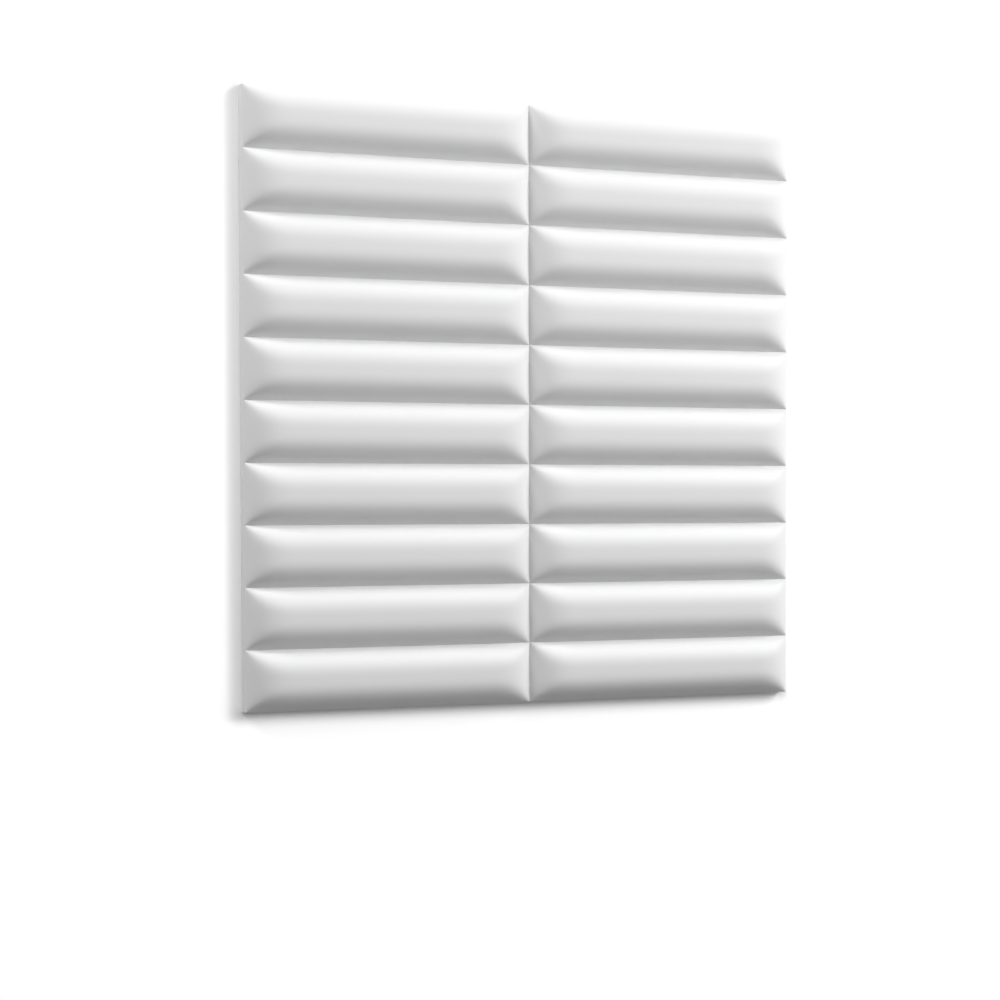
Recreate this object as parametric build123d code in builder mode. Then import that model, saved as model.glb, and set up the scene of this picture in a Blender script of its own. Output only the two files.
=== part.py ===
"""Decorative relief wall panel: a square moulded slab with ten rows and two columns of pillows.

The panel lies on its back. X runs along the pillows, Y runs up the wall once it is hung,
and +Z is the way it faces into the room. The origin is the centre of the back face.
Every length is in millimetres.
"""

import os
from math import cbrt

from build123d import *

# Driving dimensions
rows = 10
columns = 2
row_pitch = 66.6  # groove to groove, up the panel
column_pitch = 333.0  # groove to groove, along the pillows
edge_thickness = 13.0  # from the back face to the bottom of a groove
crown_height = 17.0  # from the bottom of a groove to the crown of a pillow

# Slopes of a pillow: a straight run beside each groove, then a run that rounds over into the crown
side_straight_run = 5.75  # beside a long groove
side_round_run = 26.75
end_straight_run = 2.5  # beside a short groove
end_round_run = 50.0
hip_sharpness = 1.2  # how crisp two slopes meet at a corner: 1 is soft, and more is sharper

# A pillow is lofted through level outlines, at these shares of the crown height
lower_levels = (0, 0.2, 0.4)  # straight from one to the next
upper_levels = (0.4, 0.6, 0.8, 0.93, 1)  # rounding over in one smooth face
lowest_outline = 0.005  # leaves the bottom of a groove a few tenths of a millimetre wide
highest_outline = 1 - lowest_outline  # the crown counts as flat from here
corner_mixes = (0.97, 0.75, 0.25, 0.03)  # points round a corner: 1 is the end slope, 0 the side slope

# Worked out from the driving dimensions
panel_width = columns * column_pitch
panel_height = rows * row_pitch


def rise(distance, straight_run, round_run):
    """Share of its full rise that a slope reaches at a distance in from its groove.

    The slope is straight, and then it eases off as the square of the run that is left.
    """
    slope = 1 / (straight_run + round_run / 3)
    run_left = max(straight_run + round_run - distance, 0)
    if distance <= straight_run:
        return slope * distance
    return 1 - slope * run_left**3 / (3 * round_run**2)


def half_width(share, pitch, straight_run, round_run):
    """How far from the middle of a pillow a slope reaches a share of the crown height.

    The crown is where the slope ends, or a ridge in the middle if the slopes are long enough
    to meet there, and the crown height is measured up to it either way.
    """
    slope = 1 / (straight_run + round_run / 3)
    risen = share * rise(pitch / 2, straight_run, round_run)
    if risen <= slope * straight_run:
        return pitch / 2 - risen / slope
    return pitch / 2 - (straight_run + round_run - cbrt(3 * round_run**2 * (1 - risen) / slope))


def corner_points(share):
    """Points round the right upper corner of the level outline at a share of the crown height.

    Where the two slopes meet, the pillow lies lower than either. Each slope has a depth,
    which grows from 0 at the crown to infinity in its groove, and the level is where the
    two depths to the power of hip_sharpness add up to the outline's own.
    """
    depth = (1 - share) / share
    points = []
    for mix in corner_mixes:
        end_share = 1 / (1 + depth * mix ** (1 / hip_sharpness))
        side_share = 1 / (1 + depth * (1 - mix) ** (1 / hip_sharpness))
        x = half_width(end_share, column_pitch, end_straight_run, end_round_run)
        y = half_width(side_share, row_pitch, side_straight_run, side_round_run)
        points.append((x, y))
    return points


def level_outline(share):
    """The whole level outline at a share of the crown height, at its own height."""
    right = corner_points(min(max(share, lowest_outline), highest_outline))
    left = [(-x, y) for x, y in reversed(right)]
    below = [(-x, -y) for x, y in right + left]
    with BuildSketch(Plane.XY.offset(edge_thickness + crown_height * share)) as outline:
        with BuildLine():
            Polyline(*right, *left, *below, close=True)
        make_face()
    return outline.sketch


# One pillow, from the bottom of its grooves to its crown
with BuildPart() as pillow:
    loft([level_outline(share) for share in lower_levels], ruled=True)
    loft([level_outline(share) for share in upper_levels])

# The panel: a flat slab that carries the pillows in rows and columns
with BuildPart() as wall_panel:
    with BuildSketch():
        Rectangle(panel_width, panel_height)
    extrude(amount=edge_thickness)
    with GridLocations(column_pitch, row_pitch, columns, rows):
        add(pillow.part)

wall_panel.part.label = "wall_panel"

os.makedirs("parts", exist_ok=True)
export_step(wall_panel.part, "parts/wall_panel.step")
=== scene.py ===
import math

import bpy
import numpy as np
from mathutils import Matrix, Vector


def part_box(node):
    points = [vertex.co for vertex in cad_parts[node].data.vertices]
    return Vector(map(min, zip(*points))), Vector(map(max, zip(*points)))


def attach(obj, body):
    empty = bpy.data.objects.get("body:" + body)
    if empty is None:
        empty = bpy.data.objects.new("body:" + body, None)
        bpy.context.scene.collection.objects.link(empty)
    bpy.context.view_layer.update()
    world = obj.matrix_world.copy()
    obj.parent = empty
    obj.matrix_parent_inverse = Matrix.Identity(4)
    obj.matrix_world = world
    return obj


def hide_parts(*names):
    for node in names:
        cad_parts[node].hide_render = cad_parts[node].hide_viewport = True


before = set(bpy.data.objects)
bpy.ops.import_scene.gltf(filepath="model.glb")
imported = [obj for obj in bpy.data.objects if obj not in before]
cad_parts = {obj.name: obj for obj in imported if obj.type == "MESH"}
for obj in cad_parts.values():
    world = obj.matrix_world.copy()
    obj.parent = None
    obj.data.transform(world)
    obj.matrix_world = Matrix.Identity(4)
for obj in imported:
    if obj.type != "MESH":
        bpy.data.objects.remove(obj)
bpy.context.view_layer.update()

# A square relief wall panel with ten rows and two columns of pillows, lying on its back.
# Metres throughout: X along the pillows, Y up the panel as it hangs, Z out of its face.

panelLow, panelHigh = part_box("wall_panel")


# One socket of the shader tree. Arithmetic on it adds the Math nodes, so maths reads as maths.
class Value:
    def __init__(self, tree, socket):
        self.tree = tree
        self.socket = socket

    # Any node: its settings go first, then its sockets get numbers, vectors or links.
    # A socket is given by its name, with _ for each space, or as s and its number.
    def node(self, kind, settings=None, output=0, **sockets):
        made = self.tree.nodes.new(kind)
        for name, setting in (settings or {}).items():
            setattr(made, name, setting)
        for name, given in sockets.items():
            key = int(name[1:]) if name[0] == "s" and name[1:].isdigit() else name.replace("_", " ")
            if isinstance(given, Value):
                self.tree.links.new(given.socket, made.inputs[key])
            else:
                made.inputs[key].default_value = given
        return Value(self.tree, made.outputs[output])

    def maths(self, operation, first, second=0.0):
        return self.node("ShaderNodeMath", {"operation": operation}, s0=first, s1=second)

    def __add__(self, other):
        return self.maths("ADD", self, other)

    def __radd__(self, other):
        return self.maths("ADD", other, self)

    def __sub__(self, other):
        return self.maths("SUBTRACT", self, other)

    def __rsub__(self, other):
        return self.maths("SUBTRACT", other, self)

    def __mul__(self, other):
        return self.maths("MULTIPLY", self, other)

    def __rmul__(self, other):
        return self.maths("MULTIPLY", other, self)

    def __lt__(self, other):
        return self.maths("LESS_THAN", self, other)

    def absolute(self):
        return self.maths("ABSOLUTE", self)

    def atLeast(self, least):
        return self.maths("MAXIMUM", self, least)

    def squareRoot(self):
        return self.maths("SQRT", self)

    # The first colour where this value is 0, and the second where it is 1.
    def mixColors(self, first, second):
        return self.node("ShaderNodeMix", {"data_type": "RGBA"}, output=2, s0=self, s6=first, s7=second)


# The node tree of a new material or world, with nothing in it.
def emptyTree(owner):
    owner.use_nodes = True
    owner.node_tree.nodes.clear()
    return owner.node_tree


# A new material, and the object's own coordinates to build the rest from.
def newMaterial(name):
    material = bpy.data.materials.new(name)
    tree = emptyTree(material)
    return material, Value(tree, tree.nodes.new("ShaderNodeTexCoord").outputs["Object"])


def sendToOutput(shader, kind="ShaderNodeOutputMaterial"):
    outputNode = shader.tree.nodes.new(kind)
    shader.tree.links.new(shader.socket, outputNode.inputs["Surface"])


# The relief: what a user would change about the pillows.
relief = {
    "rows": 10,
    "columns": 2,
    "edgeThickness": 0.013,       # back face to the bottom of a groove
    "sideStraight": 0.00575,      # slope beside a long groove: straight run, then the rounding
    "sideRound": 0.02675,
    "endStraight": 0.0025,        # slope beside a short groove
    "endRound": 0.05,
    "hipSharpness": 1.2,          # 1 is soft, more is sharper
    "clearance": 0.00008,         # the finished crown stays this far under the modelled box
    "cornerSteps": 8,             # grid lines that crowd into each corner
    "cornerStart": 0.012,         # first of them, as a share of the run of a slope that stayed straight
    "cornerEnd": 0.14,            # last of them
    "slopeSteps": 20,             # even grid steps from there to the crown
    "crownSteps": 6,              # grid steps along the level part of a crown
    "ridgeSteps": 2,              # grid steps across it
}
leastShare = 1e-9   # of the crown height, so that a groove doesn't divide by zero
sameLine = 1e-6     # lines and levels nearer to each other than this are one


# Share of the crown height at a distance in from a groove.
# Formula: slope * distance on the straight run, then 1 - slope * (run left)^3 / (3 * (round run)^2).
def rise(distance, straight, rounding):
    slope = 1 / (straight + rounding / 3)
    left = np.maximum(straight + rounding - distance, 0)
    return np.where(distance <= straight, slope * distance, 1 - slope * left ** 3 / (3 * rounding ** 2))


# Height of a pillow over its grooves, from the distances in from the short and the long groove.
# Formula: 1 / (1 + (p^k + q^k)^(1/k)), where p and q are (1 - share) / share of the two slopes and
# k is the sharpness. The lower slope rules, and the hip between them blurs away from the corner.
def pillowHeight(fromEnd, fromSide, crown):
    endShare = np.clip(rise(fromEnd, relief["endStraight"], relief["endRound"]), leastShare, 1)
    sideShare = np.clip(rise(fromSide, relief["sideStraight"], relief["sideRound"]), leastShare, 1)
    k = relief["hipSharpness"]
    mixed = ((1 - endShare) / endShare) ** k + ((1 - sideShare) / sideShare) ** k
    return crown / (1 + mixed ** (1 / k))


# Grid lines of one slope of a pillow, as distances in from its groove.
# Formula: a geometric run from cornerStart to cornerEnd, then even steps to the end of the slope, all
# as shares of straight + rounding / 3, the run in which a slope that stayed straight would reach the
# crown. Both slopes use the same shares near the corner, so the grid's diagonal runs along the hip.
def slopeLines(straight, rounding, reach):
    straightRun = straight + rounding / 3
    close = np.geomspace(relief["cornerStart"], relief["cornerEnd"], relief["cornerSteps"])
    even = np.linspace(relief["cornerEnd"], reach / straightRun, relief["slopeSteps"] + 1)[1:]
    return np.concatenate([[0.0], close, even]) * straightRun


# Grid lines across one whole pillow, from groove to groove: a slope, the level part, and the slope back.
def pillowLines(pitch, straight, rounding, levelSteps):
    reach = min(straight + rounding, pitch / 2)
    slope = slopeLines(straight, rounding, reach)
    level = np.linspace(reach, pitch - reach, levelSteps + 1)[1:-1]
    return np.concatenate([slope, level, pitch - slope[::-1]])


# The same lines over a row of pillows, each groove counted once. Gives the place of every line,
# and how far it lies into its own pillow.
def panelLines(start, count, pitch, lines):
    starts = start + np.arange(count) * pitch
    places = np.append((starts[:, None] + lines[:-1]).ravel(), start + count * pitch)
    into = np.append(np.tile(lines[:-1], count), 0.0)
    return places, into


# Faces of a grid of points, two triangles a cell. The cut runs from the cell's first corner to the
# one opposite where leansRight is true, and between the other two elsewhere.
def gridTriangles(number, leansRight):
    a, b, c, d = number[:-1, :-1], number[1:, :-1], number[1:, 1:], number[:-1, 1:]
    right = np.stack([a, b, c, a, c, d], axis=-1)
    left = np.stack([a, b, d, b, c, d], axis=-1)
    return np.where(leansRight[..., None], right, left).reshape(-1, 3).tolist()


# Faces of the four edges, one a pillow. A side is its feet, its rim, and which points of the rim
# stand over a foot, and all four run the same way round the panel.
def edgeFaces(foot, number, columnStarts, rowStarts):
    sides = [
        (foot[:, 0], number[:, 0], columnStarts),
        (foot[-1], number[-1], rowStarts),
        (foot[::-1, -1], number[::-1, -1], columnStarts),
        (foot[0, ::-1], number[0, ::-1], rowStarts),
    ]
    faces = []
    for feet, rim, starts in sides:
        for n in range(len(starts) - 1):
            above = rim[starts[n]:starts[n + 1] + 1]
            faces.append(np.concatenate([feet[n:n + 2], above[::-1]]).tolist())
    return faces


# A mesh object from arrays of points and faces. It is smooth but for the edges with both ends no
# higher than creaseLevel, which stay sharp.
def meshObject(name, points, faces, creaseLevel):
    mesh = bpy.data.meshes.new(name)
    mesh.from_pydata(points, [], faces)
    mesh.validate()
    mesh.shade_smooth()
    ends = np.zeros(len(mesh.edges) * 2, dtype=np.int32)
    mesh.edges.foreach_get("vertices", ends)
    isLow = points[:, 2] <= creaseLevel
    sharp = mesh.attributes.new("sharp_edge", "BOOLEAN", "EDGE")
    sharp.data.foreach_set("value", isLow[ends.reshape(-1, 2)].all(axis=1))
    piece = bpy.data.objects.new(name, mesh)
    bpy.context.scene.collection.objects.link(piece)
    return piece


# The panel: the relief grid, four flat edges and a flat back, in one closed mesh.
# Formula: z = groove level + pillowHeight(distance to the nearest short groove, and to the long one).
def buildPanel():
    columnPitch = (panelHigh.x - panelLow.x) / relief["columns"]
    rowPitch = (panelHigh.y - panelLow.y) / relief["rows"]
    grooveLevel = panelLow.z + relief["edgeThickness"]
    crown = panelHigh.z - grooveLevel - relief["clearance"]

    alongLines = pillowLines(columnPitch, relief["endStraight"], relief["endRound"], relief["crownSteps"])
    acrossLines = pillowLines(rowPitch, relief["sideStraight"], relief["sideRound"], relief["ridgeSteps"])
    xs, intoX = panelLines(panelLow.x, relief["columns"], columnPitch, alongLines)
    ys, intoY = panelLines(panelLow.y, relief["rows"], rowPitch, acrossLines)

    x, y = np.meshgrid(xs, ys, indexing="ij")
    fromEnd = np.minimum(intoX, columnPitch - intoX)[:, None]
    fromSide = np.minimum(intoY, rowPitch - intoY)
    z = grooveLevel + pillowHeight(fromEnd, fromSide, crown)
    number = np.arange(z.size).reshape(z.shape)

    # Each cell is cut along the diagonal that points at the nearest corner of its pillow.
    inLeftHalf = intoX[:-1] < columnPitch / 2 - sameLine
    inLowerHalf = intoY[:-1] < rowPitch / 2 - sameLine
    faces = gridTriangles(number, inLeftHalf[:, None] == inLowerHalf)

    # The back has a point under every crossing of the grooves, and one square a pillow.
    columnStarts, rowStarts = np.flatnonzero(intoX == 0), np.flatnonzero(intoY == 0)
    backX, backY = np.meshgrid(xs[columnStarts], ys[rowStarts], indexing="ij")
    foot = number.size + np.arange(backX.size).reshape(backX.shape)
    faces += edgeFaces(foot, number, columnStarts, rowStarts)
    squares = np.stack([foot[:-1, :-1], foot[:-1, 1:], foot[1:, 1:], foot[1:, :-1]], axis=-1)
    faces += squares.reshape(-1, 4).tolist()

    reliefPoints = np.stack([x, y, z], axis=-1).reshape(-1, 3)
    backPoints = np.stack([backX, backY, np.full_like(backX, panelLow.z)], axis=-1).reshape(-1, 3)
    points = np.concatenate([reliefPoints, backPoints])
    return meshObject("pillow_relief", points, faces, grooveLevel + sameLine)


# Primed foam: what a user would change about the finish.
primer = {
    "white": (0.86, 0.86, 0.86, 1.0),
    "patchShade": (0.845, 0.847, 0.85, 1.0),  # where the primer lies thinner
    "patchScale": 9.0,                        # patches a metre
    "patchDetail": 3.0,
    "shine": 0.3,
    "roughness": 0.62,
    "roughnessSpread": 0.08,
    "peelScale": 420.0,                       # orange peel of the sprayed primer, bumps a metre
    "peelHeight": 0.00002,
    "grainScale": 2600.0,
    "grainHeight": 0.000006,
    "fineDetail": 2.0,                        # of the peel and the grain
}
bareBack = {
    "color": (0.80, 0.79, 0.76, 1.0),
    "depth": 0.0002,                          # the back's finish reaches this far up the edges
    "extraRoughness": 0.25,
    "poreScale": 900.0,
    "poreHeight": 0.00012,
}


# Matt white factory primer on the face and edges, bare fine-pored foam on the back.
def primedFoam():
    material, place = newMaterial("primedFoam")
    noise = "ShaderNodeTexNoise"
    patches = place.node(noise, Vector=place, Scale=primer["patchScale"], Detail=primer["patchDetail"])
    peel = place.node(noise, Vector=place, Scale=primer["peelScale"], Detail=primer["fineDetail"])
    grain = place.node(noise, Vector=place, Scale=primer["grainScale"], Detail=primer["fineDetail"])
    pores = place.node("ShaderNodeTexVoronoi", Vector=place, Scale=bareBack["poreScale"])
    level = place.node("ShaderNodeSeparateXYZ", output=2, Vector=place)
    isBack = level < panelLow.z + bareBack["depth"]

    color = isBack.mixColors(patches.mixColors(primer["white"], primer["patchShade"]), bareBack["color"])
    spread = (patches - 0.5) * primer["roughnessSpread"]
    roughness = primer["roughness"] + spread + isBack * bareBack["extraRoughness"]
    frontHeight = peel * primer["peelHeight"] + grain * primer["grainHeight"]
    height = frontHeight * (1 - isBack) + pores * bareBack["poreHeight"] * isBack
    bump = place.node("ShaderNodeBump", Strength=1.0, Distance=1.0, Height=height)
    shader = place.node(
        "ShaderNodeBsdfPrincipled",
        Base_Color=color, Roughness=roughness, Normal=bump, Specular_IOR_Level=primer["shine"],
    )
    sendToOutput(shader)
    return material


panel = buildPanel()
panel.data.materials.append(primedFoam())
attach(panel, "root")
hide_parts("wall_panel")
print("panel:", len(panel.data.vertices), "points,", len(panel.data.polygons), "faces")

# The studio: floor, light and world.
studio = {
    "floorSize": 14.0,
    "floorGap": 0.0002,                  # the floor lies this far under the panel's back
    "floorColor": (0.84, 0.84, 0.84, 1.0),
    "floorGlow": 0.52,                   # seen by the camera alone, so the floor reads white
    # The floor's glow is lower right beside the panel: a painted shadow round its outline.
    "paintedShadowGlow": 0.12,               # right beside the panel
    "paintedShadowReach": 0.02,
    "lampReach": 0.8,                    # from here outwards the glow makes up for the lamps
    "worldColor": (1.0, 1.0, 1.0, 1.0),
    "lamps": {                           # place, width and power
        "keyLamp": ((2.94, 1.84, 2.0), 2.2, 141.0),
        "leftLamp": ((-2.74, 2.74, 0.97), 1.6, 84.0),
        "overLamp": ((-0.53, 0.31, 1.69), 0.8, 7.8),
        "rightLamp": ((1.69, 0.0, 0.62), 0.6, 4.2),
        "lowLamp": ((0.0, -3.88, 0.97), 1.6, 11.6),
    },
}


# Floor: matt and pale. It gives off light to camera rays only: least beside the panel, a painted shadow
# round its outline, and most far out.
# Formula: one smooth step from the painted shadow's glow up to the full glow and one from 0 to 1 - glow,
# both of the distance sqrt(dx^2 + dy^2) from the panel's outline.
def floorMaterial():
    material, place = newMaterial("studioFloor")
    seen = place.node("ShaderNodeLightPath")  # 1 for a ray straight from the camera
    away = []
    for axis, reach in enumerate((panelHigh.x, panelHigh.y)):
        along = place.node("ShaderNodeSeparateXYZ", output=axis, Vector=place)
        away.append((along.absolute() - reach).atLeast(0.0))
    distance = (away[0] * away[0] + away[1] * away[1]).squareRoot()
    step = {"interpolation_type": "SMOOTHSTEP"}
    # Painted shadow: the glow dips beside the panel's outline, so the floor is darker there.
    shadowedGlow = place.node(
        "ShaderNodeMapRange", step, Value=distance,
        From_Max=studio["paintedShadowReach"], To_Min=studio["paintedShadowGlow"], To_Max=studio["floorGlow"],
    )
    far = place.node(
        "ShaderNodeMapRange", step, Value=distance,
        From_Min=studio["lampReach"], From_Max=studio["floorSize"] / 2, To_Max=1 - studio["floorGlow"],
    )
    diffuse = place.node("ShaderNodeBsdfDiffuse", Color=studio["floorColor"])
    glow = place.node("ShaderNodeEmission", Strength=seen * (shadowedGlow + far))
    sendToOutput(place.node("ShaderNodeAddShader", s0=diffuse, s1=glow))
    return material


def buildFloor():
    half = studio["floorSize"] / 2
    level = panelLow.z - studio["floorGap"]
    corners = [(-half, -half, level), (half, -half, level), (half, half, level), (-half, half, level)]
    mesh = bpy.data.meshes.new("floor")
    mesh.from_pydata(corners, [], [[0, 1, 2, 3]])
    mesh.materials.append(floorMaterial())
    floor = bpy.data.objects.new("floor", mesh)
    bpy.context.scene.collection.objects.link(floor)


# A round lamp that faces the middle of the panel.
def areaLamp(name, place, size, power):
    light = bpy.data.lights.new(name, "AREA")
    light.shape = "DISK"
    light.size = size
    light.energy = power
    lamp = bpy.data.objects.new(name, light)
    lamp.location = place
    lamp.rotation_euler = (-Vector(place)).to_track_quat("-Z", "Y").to_euler()
    lamp.visible_camera = False
    bpy.context.scene.collection.objects.link(lamp)


# World: white to the camera, and no light on anything else.
def buildWorld():
    world = bpy.data.worlds.new("studioWorld")
    tree = emptyTree(world)
    seen = Value(tree, tree.nodes.new("ShaderNodeLightPath").outputs["Is Camera Ray"])
    background = seen.node("ShaderNodeBackground", Color=studio["worldColor"], Strength=seen)
    sendToOutput(background, "ShaderNodeOutputWorld")
    bpy.context.scene.world = world


# Camera: high up to the panel's left, looking down across it, upright on the panel's own Y.
view = {
    "place": (-1.08257, -0.11456, 2.37844),
    "target": (-0.03617, -0.21795, 0.013),
    "sensorWidth": 36,  # millimetres, as is the lens
    "lens": 83.495,
    "shiftUp": 0.10,
    "roll": -0.125,     # degrees
    "clip": (0.01, 100),
}


def buildCamera():
    place, target = Vector(view["place"]), Vector(view["target"])
    back = (place - target).normalized()
    right = Vector((0, 1, 0)).cross(back).normalized()
    up = back.cross(right)
    turn = Matrix((right, up, back)).transposed() @ Matrix.Rotation(math.radians(view["roll"]), 3, "Z")
    camera = bpy.data.cameras.new("camera")
    camera.sensor_width = view["sensorWidth"]
    camera.lens = view["lens"]
    camera.shift_y = view["shiftUp"]
    camera.clip_start, camera.clip_end = view["clip"]
    cameraObject = bpy.data.objects.new("camera", camera)
    cameraObject.matrix_world = Matrix.Translation(place) @ turn.to_4x4()
    bpy.context.scene.collection.objects.link(cameraObject)
    bpy.context.scene.camera = cameraObject


buildFloor()
buildWorld()
for lampName, lampValues in studio["lamps"].items():
    areaLamp(lampName, *lampValues)
buildCamera()
bpy.context.scene.view_settings.view_transform = "Standard"
print("studio: floor, world, lamps and camera")
